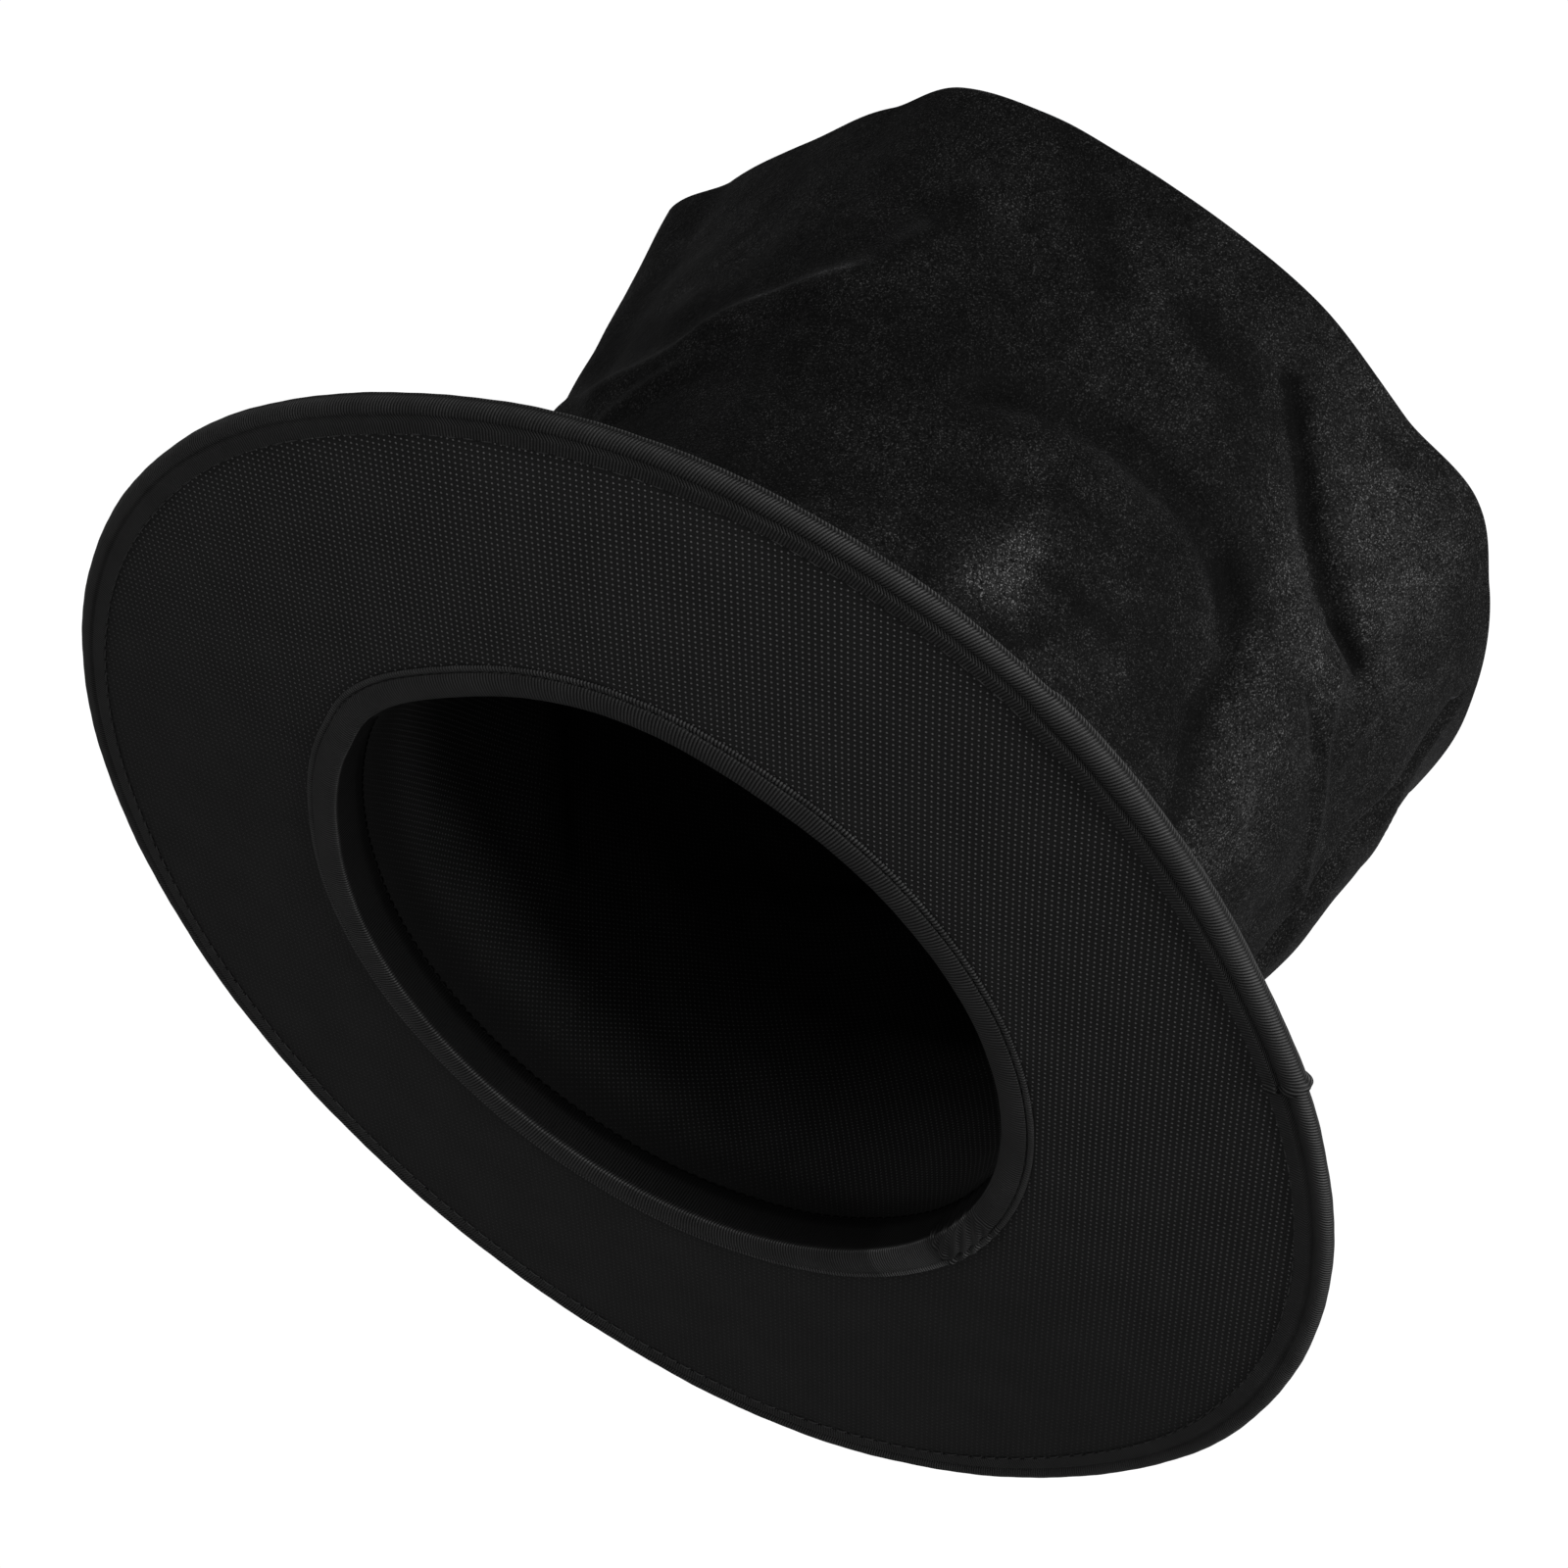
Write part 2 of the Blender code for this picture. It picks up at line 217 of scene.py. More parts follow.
class Nodes:
    """A short way to write shader nodes."""

    def __init__(self, name):
        self.material = bpy.data.materials.new(name)
        self.material.use_nodes = True
        self.tree = self.material.node_tree
        self.shader = self.tree.nodes["Principled BSDF"]

    def add(self, kind, **settings):
        node = self.tree.nodes.new(kind)
        for key, value in settings.items():
            setattr(node, key, value)
        return node

    def link(self, source, target):
        self.tree.links.new(source, target)

    def math(self, operation, a, b=None):
        node = self.add("ShaderNodeMath", operation=operation)
        for socket, value in zip(node.inputs, (a, b)):
            if value is None:
                continue
            if isinstance(value, (int, float)):
                socket.default_value = value
            else:
                self.link(value, socket)
        return node.outputs[0]

    def noise(self, vector, scale, detail=2.0, roughness=0.5, distortion=0.0):
        node = self.add("ShaderNodeTexNoise")
        node.inputs["Scale"].default_value = scale
        node.inputs["Detail"].default_value = detail
        node.inputs["Roughness"].default_value = roughness
        node.inputs["Distortion"].default_value = distortion
        self.link(vector, node.inputs["Vector"])
        return node.outputs[0]

    def ramp(self, value, stops, interpolation="LINEAR"):
        node = self.add("ShaderNodeValToRGB")
        node.color_ramp.interpolation = interpolation
        elements = node.color_ramp.elements
        while len(elements) < len(stops):
            elements.new(0.5)
        for element, (place, level) in zip(elements, stops):
            element.position = place
            colour = level if isinstance(level, tuple) else (level,) * 3
            element.color = (*colour, 1)
        self.link(value, node.inputs[0])
        return node.outputs[0]

    def attribute(self, name):
        return self.add("ShaderNodeAttribute", attribute_name=name).outputs["Fac"]

    def grey(self, level):
        combine = self.add("ShaderNodeCombineColor")
        for socket in combine.inputs[:3]:
            self.link(level, socket)
        self.link(combine.outputs[0], self.shader.inputs["Base Color"])

    def bump(self, height, distance, strength=1.0):
        node = self.add("ShaderNodeBump")
        node.inputs["Strength"].default_value = strength
        node.inputs["Distance"].default_value = distance
        self.link(height, node.inputs["Height"])
        return node.outputs[0]

    def set(self, **values):
        names = {
            "color": "Base Color", "rough": "Roughness", "specular": "Specular IOR Level",
            "sheen": "Sheen Weight", "sheen_rough": "Sheen Roughness", "sheen_tint": "Sheen Tint",
            "normal": "Normal",
        }
        for key, value in values.items():
            socket = self.shader.inputs[names[key]]
            if isinstance(value, bpy.types.NodeSocket):
                self.link(value, socket)
            else:
                socket.default_value = value


def velvet_material(name="velvet_crushed"):
    """Short pile pressed this way and that: broad light and dark patches and a fine grain with painted
    glints, times a per-point gain that holds the nap together with painted shade along the folds and painted
    light on the lit side.
    """
    n = Nodes(name)
    place = n.add("ShaderNodeTexCoord").outputs["Object"]
    broad = n.noise(place, 30, 3, 0.6, 0.8)
    middle = n.noise(place, 160, 3, 0.65, 0.3)
    grain = n.noise(place, 1200, 2, 0.6)
    speck = n.noise(place, 2000, 1, 0.5)
    lay = n.math("ADD", n.math("MULTIPLY", broad, 0.55), n.math("MULTIPLY", middle, 0.45))
    pile = n.ramp(lay, ((0.36, 0.0004), (0.5, 0.00075), (0.64, 0.00135)))
    # The per-point gain holds the nap and also painted shade along the folds and creases, and painted light
    # on the lit side and the back roll.
    nap_and_painted_light_gain = n.math("POWER", 2.6, n.attribute("nap_and_painted_light"))
    pile = n.math("MULTIPLY", pile, nap_and_painted_light_gain)
    # Fine bright specks in the colour are painted glints on the pile.
    sparkle = n.ramp(speck, ((0.58, 0.0), (0.70, 1.0)))
    painted_glints = n.math("MULTIPLY", sparkle, n.math("MULTIPLY", pile, 9.5))
    fine = n.math("MULTIPLY", n.ramp(grain, ((0.35, 0.2), (0.65, 2.0))), pile)
    n.grey(n.math("ADD", fine, painted_glints))
    height = n.math("ADD", n.math("MULTIPLY", grain, 0.5), n.math("MULTIPLY", middle, 0.7))
    n.set(rough=0.8, specular=0.02, sheen=0.05, sheen_rough=0.3,
          sheen_tint=(0.6, 0.6, 0.62, 1), normal=n.bump(height, 0.0006, 0.8))
    return n.material


LATTICE = ((1.56, 48.5), (1.57, 143.4))  # the two steps between embossed dots: millimetres, degrees


def nonwoven_material(name="nonwoven_dotted"):
    """Thin black felted cloth with small raised dots on a nearly square grid, laid out along its UVs. The
    dots are painted lighter, as painted highlight on their raised tops, by as much as a per-point attribute
    gives, and the whole colour is scaled by a per-point painted shading.
    """
    n = Nodes(name)
    uv = n.add("ShaderNodeTexCoord").outputs["UV"]
    split = n.add("ShaderNodeSeparateXYZ")
    n.link(uv, split.inputs[0])
    (la, aa), (lb, ab) = LATTICE
    a = (la * MM * math.cos(math.radians(aa)), la * MM * math.sin(math.radians(aa)))
    b = (lb * MM * math.cos(math.radians(ab)), lb * MM * math.sin(math.radians(ab)))
    area = a[0] * b[1] - a[1] * b[0]
    cells = []
    for x, y in ((b[1] / area, -b[0] / area), (-a[1] / area, a[0] / area)):
        part_x = n.math("MULTIPLY", split.outputs[0], x)
        along = n.math("ADD", part_x, n.math("MULTIPLY", split.outputs[1], y))
        inside = n.math("SUBTRACT", n.math("FRACT", along), 0.5)
        cells.append(n.math("MULTIPLY", inside, inside))
    away = n.math("SQRT", n.math("ADD", *cells))
    dot = n.ramp(away, ((0.10, 1.0), (0.23, 0.0)), "EASE")
    fibre = n.noise(uv, 2600, 3, 0.6)
    cloud = n.noise(uv, 60, 2, 0.5)
    mottled = n.ramp(cloud, ((0.3, 0.0024), (0.7, 0.0033)))
    base = n.math("MULTIPLY", n.ramp(fibre, ((0.3, 0.6), (0.7, 1.5))), mottled)
    dot = n.math("MULTIPLY", dot, n.attribute("emboss_and_painted_light"))
    # The dots are painted lighter than the cloth: painted highlight on their raised tops.
    cloth_with_painted_dot_light = n.math("ADD", base, n.math("MULTIPLY", dot, 0.048))
    # The colour is scaled by a per-point painted shading, in stops.
    n.grey(n.math("MULTIPLY", cloth_with_painted_dot_light, n.math("POWER", 2.0, n.attribute("painted_shading"))))
    height = n.math("ADD", dot, n.math("MULTIPLY", fibre, 0.35))
    rough = n.math("SUBTRACT", 0.85, n.math("MULTIPLY", dot, 0.35))
    n.set(rough=rough, specular=0.07, normal=n.bump(height, 0.0005))
    return n.material


def ribbon_material(name="tape_ribbed", base=0.0036, rough=0.6, pitch=0.85):
    """Satin tape whose weft shows as fine ribs across it, along its UVs: painted shade in the gaps and
    painted highlight on the threads between them.
    """
    n = Nodes(name)
    place = n.add("ShaderNodeTexCoord")
    split = n.add("ShaderNodeSeparateXYZ")
    n.link(place.outputs["UV"], split.inputs[0])
    thread = n.noise(place.outputs["Object"], 3000, 2, 0.6)
    worn = n.noise(place.outputs["Object"], 90, 3, 0.6)
    wander = n.math("MULTIPLY", n.noise(place.outputs["Object"], 240, 2, 0.5), 0.9)
    along = n.math("ADD", n.math("MULTIPLY", split.outputs[0], FULL / (pitch * MM)), wander)
    rib = n.math("ADD", n.math("MULTIPLY", n.math("SINE", along), 0.5), 0.5)
    # Painted shade in the gaps between ribs and painted highlight on the threads.
    rib_painted_light = n.ramp(rib, ((0.35, 0.0), (0.6, 2.9)))
    level = n.math("MULTIPLY", n.ramp(thread, ((0.3, 0.7), (0.7, 1.4))),
                   n.ramp(worn, ((0.3, base * 0.8), (0.7, base * 1.3))))
    # Per-point painted shading in stops: painted shade in grooves, under flanges and up the collar, painted
    # highlight on folds and patches.
    painted_shading = n.math("POWER", 2.0, n.attribute("painted_shading"))
    n.grey(n.math("MULTIPLY", n.math("MULTIPLY", level, rib_painted_light), painted_shading))
    height = n.math("ADD", rib, n.math("MULTIPLY", thread, 0.3))
    n.set(rough=rough, specular=0.06, normal=n.bump(height, 0.00018))
    return n.material


def thread_material(name="thread_twisted", dim=1.0):
    n = Nodes(name)
    place = n.add("ShaderNodeTexCoord").outputs["Object"]
    strand = n.noise(place, 5200, 1, 0.5)
    combine = n.add("ShaderNodeCombineColor")
    level = n.ramp(strand, ((0.3, 0.005 * dim), (0.7, 0.02 * dim)))
    for socket in combine.inputs[:3]:
        n.link(level, socket)
    n.set(color=combine.outputs[0], rough=0.6, specular=0.2 * dim, normal=n.bump(strand, 0.0001, 0.6))
    return n.material


def plain_material(name, base, rough, scale):
    n = Nodes(name)
    place = n.add("ShaderNodeTexCoord").outputs["Object"]
    mottle = n.noise(place, scale, 3, 0.6)
    n.set(color=n.ramp(mottle, ((0.3, base * 0.8), (0.7, base * 1.2))), rough=rough, specular=0.3,
          normal=n.bump(mottle, 0.0003, 0.5))
    return n.material


VELVET = velvet_material()
NONWOVEN = nonwoven_material()
TAPE = ribbon_material()
THREAD = thread_material("thread_twisted", 0.45)
# The stitches inside the collar use the same thread painted nearly black, as painted shade.
THREAD_PAINTED_SHADE = thread_material("thread_painted_shade", 0.02)
FELT = plain_material("felt_grey", 0.1, 0.9, 900)
BOARD = plain_material("board_plain", 0.16, 0.8, 400)
CORD = plain_material("cord_plastic", 0.03, 0.4, 300)


def finish_piece(obj, material, slot, *nodes):
    obj.data.materials.clear()
    obj.data.materials.append(material)
    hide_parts(*nodes)
    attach(obj, "root")
    return obj


# ---------------------------------------------------------------- brim

AROUND = np.arange(720) * FULL / 720
BEAD_RADIUS = 2.55
BEAD_CENTRE = BEAD_RADIUS  # in from the brim's outline
FLANGE = 8.6  # how far in from the outline the edge tape reaches
CLOTH_END = 5.6  # how far in from the outline the brim's layers stop, against the cord
CROWN_BASE_OUT = 4.2  # crown's outer face, out from the opening's edge


def brim_layer(name, low, high, steps, inner, outer_gap):
    """A cloth or board ring between the crown and the edge cord: closed, with its own thickness."""
    share = np.linspace(0, 1, steps)
    a = AROUND[:, None]
    r0 = opening_radius(a) + inner
    r1 = edge_radius(a) - outer_gap
    out = r0 + (r1 - r0) * share[None, :]
    sides = []
    for level, flip in ((high, False), (low, True)):
        r = out[:, ::-1] if flip else out
        z = brim_height(a, brim_share(r, a)) + level
        sides.append(np.stack([r * np.cos(a) + CENTRE_X, r * np.sin(a), z], axis=-1))
    points = np.concatenate(sides, axis=1)
    return mesh_grid(name, points, wrap_v=True, uv=plan_uv(points))


CLOTH_STEPS = 40
CLOTH_START, BOARD_START = 1.5, 4.6  # how far out from the opening's edge the layers start
cloth = brim_layer("brim_under_cloth_dotted", *BRIM_LAYERS["cloth"], CLOTH_STEPS, CLOTH_START, CLOTH_END)
# The dots stand out more along the wearer's left than on the other side: their relief, and their painted
# highlight where the key light catches them.
dot_emboss_and_painted_light = 0.12 + 0.88 * smooth((np.cos(AROUND - math.radians(168)) + 0.35) / 1.1)
paint(cloth, "emboss_and_painted_light", np.repeat(dot_emboss_and_painted_light[:, None], 2 * CLOTH_STEPS, axis=1))
finish_piece(cloth, NONWOVEN, "dotted_nonwoven", "brim_under_cloth")
board = brim_layer("brim_board_curved", *BRIM_LAYERS["board"], 12, BOARD_START, CLOTH_END)
finish_piece(board, BOARD, "brim_board", "brim_board")
top = brim_layer("brim_top_velvet_soft", *BRIM_LAYERS["velvet"], 60, BOARD_START, CLOTH_END)
finish_piece(top, VELVET, "crushed_velvet", "brim_top_velvet")


def cord_points(guide, inward, height, radius, sides=10, count=360):
    a = np.arange(count) * FULL / count
    turn = np.arange(sides) * FULL / sides
    return ring_points(a, -inward + radius * np.cos(turn), height + radius * np.sin(turn), guide)


edge_cord = mesh_grid("brim_edge_cord_curved", cord_points(edge_radius, BEAD_CENTRE, 0, 1.5), wrap_v=True)
finish_piece(edge_cord, CORD, "plastic_cord", "brim_edge_cord")


TAPE_THICK = 0.45
TAPE_STEP = 0.9  # between the points along a tape
LAP_CLIMB = 0.9  # degrees over which a tape climbs on to its own start


def arc_length_table(angles, guide):
    r = guide(angles)
    x, y = r * np.cos(angles), r * np.sin(angles)
    return np.concatenate([[0], np.cumsum(np.hypot(np.diff(x), np.diff(y)))])


def ribbed_tape(name, section, lap_start, lap_extra, guide, corner=0.0, crumple=0.0, painted_highlights=()):
    """A tape once round the oval and on over its own start.

    section(layer) gives, for each point of the tape's outer face, its offset, its height, the two parts of
    its outward normal, its rib slant and its painted shading (painted shade and highlight, in stops).
    """
    fine = np.linspace(lap_start, lap_start + FULL + lap_extra, 4000)
    length = arc_length_table(fine, guide)
    at = np.linspace(0, length[-1], int(length[-1] / TAPE_STEP))
    angles = np.interp(at, length, fine)
    step_up = math.radians(LAP_CLIMB)
    raised = smooth((angles - lap_start - FULL + step_up) / step_up)[:, None]
    low, high = section(0.0), section(1.0)
    offset, height, out_r, out_z = (low[k] * (1 - raised) + high[k] * raised for k in range(4))
    slant, painted_shading = low[4], low[5]
    plump = 0.05 * np.sin(at * 0.13) + 0.03 * np.sin(at * 0.31 + 1) + 0.02 * np.sin(at * 0.83)
    last = smooth((at - at[-1] + 2.2) / 2.2) * corner
    push = plump[:, None] + last[:, None]
    if crumple:
        window = smooth((angles - angles[-1] + lap_extra + 0.02) / 0.05)[:, None]
        push = push + window * crumple * np.sin(at[:, None] * 1.1 + np.arange(len(slant)) * 0.7)
    offset, height = offset + out_r * push, height + out_z * push
    a = angles[:, None] + 0 * offset
    both_r = np.concatenate([offset, (offset - out_r * TAPE_THICK)[:, ::-1]], axis=1)
    both_z = np.concatenate([height, (height - out_z * TAPE_THICK)[:, ::-1]], axis=1)
    both_a = np.concatenate([a, a[:, ::-1]], axis=1)
    r = guide(both_a) + both_r
    z = both_z + brim_height(both_a, brim_share(r, both_a))
    points = np.stack([r * np.cos(both_a) + CENTRE_X, r * np.sin(both_a), z], axis=-1)
    both = np.concatenate([slant, slant[::-1], slant[:1]])
    u = (at[:, None] + both[None, :]) * MM
    v = np.repeat(np.arange(len(both))[None, :] * 0.5 * MM, len(at), axis=0)
    obj = mesh_grid(name, points, wrap_u=False, wrap_v=True, cap_ends=True, uv=(u, v))
    # Painted shading of each row of the section, with painted highlight patches laid on along the tape.
    tone = np.repeat(np.concatenate([painted_shading, painted_shading[::-1]])[None, :], len(at), axis=0)
    # Painted highlight patches: stops, then from and to direction in degrees.
    for stops, start, end in painted_highlights:
        painted_highlight_mask = smooth((angles - math.radians(start)) / 0.03) * smooth((math.radians(end) - angles) / 0.03)
        tone = tone + stops * painted_highlight_mask[:, None]
    paint(obj, "painted_shading", tone)
    return face_out(obj)


def edge_section(layer):
    """From under the brim, out over the bead and back over the top. layer is 0 or 1 for the lapped end."""
    extra = 0.62 * layer
    radius = BEAD_RADIUS + extra
    low = BRIM_LAYERS["cloth"][0] - 0.5
    high = BRIM_LAYERS["velvet"][1] + 0.45
    rows = []
    # The last number of each row is painted shading: painted shade on the flat flanges under and over the
    # brim.
    for inward in (FLANGE, FLANGE - 0.25, FLANGE - 1.2, FLANGE - 2.2, FLANGE - 3.1):
        rows.append((-inward, low - extra, 0, -1, 0.2 * inward, -0.8))
    for t in np.linspace(-2.35, 2.35, 31):
        lean = 1.1 * abs(t - 0.05)
        crease = math.exp(-((t - 0.05) / 0.16) ** 2)
        out = radius - 0.18 * crease
        # Painted shading on the bead: lighter on its upper side, painted shade in the crease of the fold.
        painted_shading = (0.5 if t > 0.3 else -0.2) - 1.8 * crease
        c, s = math.cos(t), math.sin(t)
        rows.append((-BEAD_CENTRE + out * c, out * s, c, s, lean, painted_shading))
    for inward in (FLANGE - 3.0, FLANGE - 2.0, FLANGE - 1.0, FLANGE - 0.25, FLANGE):
        rows.append((-inward, high + extra, 0, 1, -0.2 * inward, -0.5))
    return np.array(rows, float).T


EDGE_LAP_START = math.radians(179.5)
EDGE_LAP_RUN = math.radians(36.0)
edge_tape = ribbed_tape("edge_binding_ribbed", edge_section, EDGE_LAP_START, EDGE_LAP_RUN, edge_radius,
                        corner=0.9)
finish_piece(edge_tape, TAPE, "ribbed_tape", "edge_binding")
HEAD_FLANGE = 8.4


def head_section(layer):
    """A flat strip under the brim, a groove, a plump band round the fold, then up inside the crown."""
    extra = 0.6 * layer
    low = BRIM_LAYERS["cloth"][0] - 0.5 - extra
    rows = []
    # The last number of each row is painted shading: a little painted light on the flat strip, painted shade
    # in the groove, and a painted highlight along the fold's edge.
    for outward in (HEAD_FLANGE, HEAD_FLANGE - 0.2, 7.8, 7.2, 6.8):
        rows.append((outward, low - (0.25 if 7 < outward < 8.3 else 0), 0, -1, 0.3, 0.5))
    rows.append((6.4, low + 0.25, 0, -1, 0.3, -2.0))
    wide, deep = 3.2, 1.5
    for t in np.linspace(0.15, 1, 24) * math.pi:
        folded = math.exp(-((t / math.pi - 0.97) / 0.07) ** 2)
        rows.append((wide + (wide + 0.5) * math.cos(t), low + 0.2 - deep * math.sin(t), math.cos(t) * 0.6,
                     -math.sin(t), 0.25 * t, -0.4 + 1.4 * folded))
    # The collar up inside the crown is painted dark: painted shade.
    for up in (1.2, 3, 5, 8, 11.5):
        rows.append((-0.5 - extra * 0.5, low + 0.2 + up, -1, 0, 1.0, -3.4))
    return np.array(rows, float).T


HEAD_LAP_START = math.radians(258.5)
HEAD_LAP_RUN = math.radians(13.0)
# Painted highlights on the head tape beside its lap and on the lap.
head_tape = ribbed_tape("head_binding_ribbed", head_section, HEAD_LAP_START, HEAD_LAP_RUN, opening_radius,
                        corner=0.6, crumple=0.45, painted_highlights=((1.1, 272.5, 288), (0.7, 620, 629)))
finish_piece(head_tape, TAPE, "ribbed_tape", "head_binding")


def close_thread(faces, base, rings, sides):
    """The faces of one stitch: a tube of rings of points, with both its ends filled."""
    for i in range(rings - 1):
        low, high = base + i * sides, base + (i + 1) * sides
        for j in range(sides):
            j1 = (j + 1) % sides
            faces.append((low + j, low + j1, high + j1, high + j))
    faces.append(tuple(base + j for j in range(sides)))
    faces.append(tuple(base + (rings - 1) * sides + j for j in reversed(range(sides))))


def stitch_object(name, verts, faces, rounded):
    mesh = bpy.data.meshes.new(name)
    mesh.from_pydata((np.array(verts) * MM).tolist(), [], faces)
    mesh.polygons.foreach_set("use_smooth", np.full(len(faces), rounded))
    obj = bpy.data.objects.new(name, mesh)
    bpy.context.scene.collection.objects.link(obj)
    return face_out(obj)


def stitches(name, guide, offset, height, pitch, length, out=-1, radius=0.24):
    """Single stitches lying along the oval, each a small closed thread whose ends go down into the cloth."""
    fine = np.linspace(0, FULL, 3000)
    table = arc_length_table(fine, guide)
    count = int(round(table[-1] / pitch))
    verts, faces = [], []
    along = np.linspace(-0.5, 0.5, 7)
    turn = np.arange(6) * FULL / 6
    for k in range(count):
        wobble = 0.12 * math.sin(k * 12.9898)
        middle = (k + 0.5 + 0.2 * wobble) * table[-1] / count
        s = middle + along * length
        a = np.interp(s % table[-1], table, fine)
        dip = np.abs(along * 2) ** 4 * 0.55
        base = len(verts)
        for i in range(len(along)):
            thick = radius * (1 - 0.55 * abs(along[i] * 2) ** 6)
            r = float(guide(a[i])) + offset + wobble
            z = brim_height(a[i], brim_share(r, a[i])) + height - out * dip[i]
            for t in turn:
                rr = r + thick * math.cos(t)
                spot = (rr * math.cos(a[i]) + CENTRE_X, rr * math.sin(a[i]), z + thick * math.sin(t))
                verts.append(spot)
        close_thread(faces, base, len(along), len(turn))
    return stitch_object(name, verts, faces, True)


under = BRIM_LAYERS["cloth"][0] - 0.15
edge_under = stitches("edge_stitches_under", edge_radius, -FLANGE - 0.1, under - 0.2, 5.0, 4.3)
finish_piece(edge_under, THREAD, "sewing_thread", "edge_thread_under")
over = BRIM_LAYERS["velvet"][1] + 0.25
edge_over = stitches("edge_stitches_top", edge_radius, -FLANGE - 0.1, over, 5.0, 4.3, out=1)
finish_piece(edge_over, THREAD, "sewing_thread", "edge_thread_top")
head_under = stitches("head_stitches_under", opening_radius, 6.5, under - 0.25, 3.0, 2.4)
finish_piece(head_under, THREAD, "sewing_thread", "head_thread_under")
head_inner = stitches("head_stitches_inner", opening_radius, -0.45, 9.6, 3.0, 2.4, out=1)
finish_piece(head_inner, THREAD_PAINTED_SHADE, "sewing_thread", "head_thread_inner")
join = stitches("crown_brim_stitches", opening_radius, CROWN_BASE_OUT + 0.5, over, 3.5, 3.0, out=1)
finish_piece(join, THREAD, "sewing_thread", "crown_brim_thread")


# ---------------------------------------------------------------- crown

# How far the rim stands in or out of its oval, by direction: the soft tip has corners and flats
RIM_PULL = ((60, 1), (80, 0), (90, -10), (105, -12), (120, -5), (130, 3.5), (140, 3.5), (160, 1), (180, 2),
            (200, 1.5), (212, 8), (225, 3), (245, -2), (265, -4), (285, -3), (310, 1), (335, 2), (365, -4),
            (395, 2))

# Folds in the crown's side: depth, half widths below and above, points of (direction, height)
FOLDS = (
    (5, 9, 5.5, ((155, 130), (165, 140), (190, 142), (205, 125), (205, 100), (215, 75))),  # over the bulge
    (5.5, 8, 2.8, ((185, 190), (195, 175), (210, 155), (220, 160))),  # the deep crease
    (2, 2.5, 2, ((212, 156), (220, 160))),  # the dimple at its end
    (-3.5, 8, 6, ((80, 125), (105, 115), (120, 135), (135, 140), (140, 180))),  # ridge at the front
    (-2, 4, 4, ((100, 105), (115, 115))),
    (1.3, 3, 2.5, ((215, 135), (230, 135))),
    (-2.4, 3.5, 3.5, ((215, 150), (225, 135), (250, 130))),  # ridge running back from the dimple
    (-1.8, 4, 4, ((225, 165), (230, 145))),
    (6, 2.4, 4.5, ((240, 200), (245, 175), (247, 145), (265, 90))),  # the long fold at the back
    (-10, 26, 22, ((255, 165), (265, 130), (275, 80))),  # the roll of cloth outside it
    (2, 14, 14, ((260, 210), (270, 190))),
    (2.2, 8, 8, ((170, 185), (185, 180))),
    (2, 9, 9, ((135, 170), (150, 175))),
    (2, 10, 10, ((150, 205), (160, 175))),
    (4, 12, 8, ((300, 190), (320, 145), (345, 110))),  # from here on, the side that the photograph hides
    (-2.5, 7, 7, ((305, 190), (335, 150))),
    (3.5, 10, 6, ((20, 60), (45, 110), (50, 170))),
    (3, 8, 10, ((350, 195), (385, 160))),
    (2.5, 6, 9, ((285, 90), (315, 85))),
    (1.5, 1.5, 1.5, ((270, -10), (270, 215))),  # the seam at the back
)

# Where the velvet is painted lighter or darker: patches of nap, painted shade along the folds and creases,
# and painted light on the side round 210 degrees and on the roll at the back: stops, half width, points of
# (direction, height)
NAP_AND_PAINTED_LIGHT = (
    (0.75, 30, ((205, 200), (220, 100))),
    (-0.35, 28, ((130, 120), (170, 120))),
    (-0.95, 7, ((170, 185), (180, 180))),
    (-0.85, 7, ((155, 130), (165, 140), (190, 142), (200, 135))),
    (-2, 2, ((185, 190), (195, 175), (210, 155), (220, 160))),
    (-0.6, 6, ((135, 155), (140, 175))),
    (-0.7, 6, ((145, 210), (160, 175))),
    (-0.7, 9, ((80, 150), (95, 140), (110, 140))),
    (-0.5, 8, ((105, 95), (125, 75), (140, 75))),
    (-1.2, 3.6, ((195, 138), (205, 125), (205, 100), (215, 75))),
    (-0.8, 5, ((165, 70), (180, 70), (180, 90))),
    (-0.7, 2, ((215, 135), (230, 135))),
    (-2.2, 2.3, ((240, 200), (245, 175), (247, 145), (265, 90))),
    (-0.7, 4, ((200, 202), (203, 204))),
    (-0.6, 9, ((190, 100), (205, 95))),
    (1.45, 8.5, ((170, 72), (172, 90))),  # the small bright patch near the brim
    (0.7, 4, ((178, 80), (180, 90))),
    (-0.9, 3, ((175, 92), (188, 94))),
    (0.6, 6, ((165, 115), (170, 100))),
    (0.5, 8, ((190, 170), (210, 140))),
    (0.2, 12, ((205, 185), (225, 180))),
    (0.4, 8, ((160, 195), (170, 170))),
    (0.2, 9, ((220, 105), (215, 120))),
    (0.9, 12, ((255, 190), (260, 150), (275, 100))),
    (0.35, 13, ((100, 160), (115, 180))),
    (0.35, 6, ((120, 130), (135, 145))),
    (-0.7, 9, ((300, 190), (330, 140))),
    (0.6, 10, ((330, 170), (370, 120))),
    (-0.6, 8, ((20, 60), (45, 125))),
    (0.5, 9, ((40, 60), (60, 140))),
)


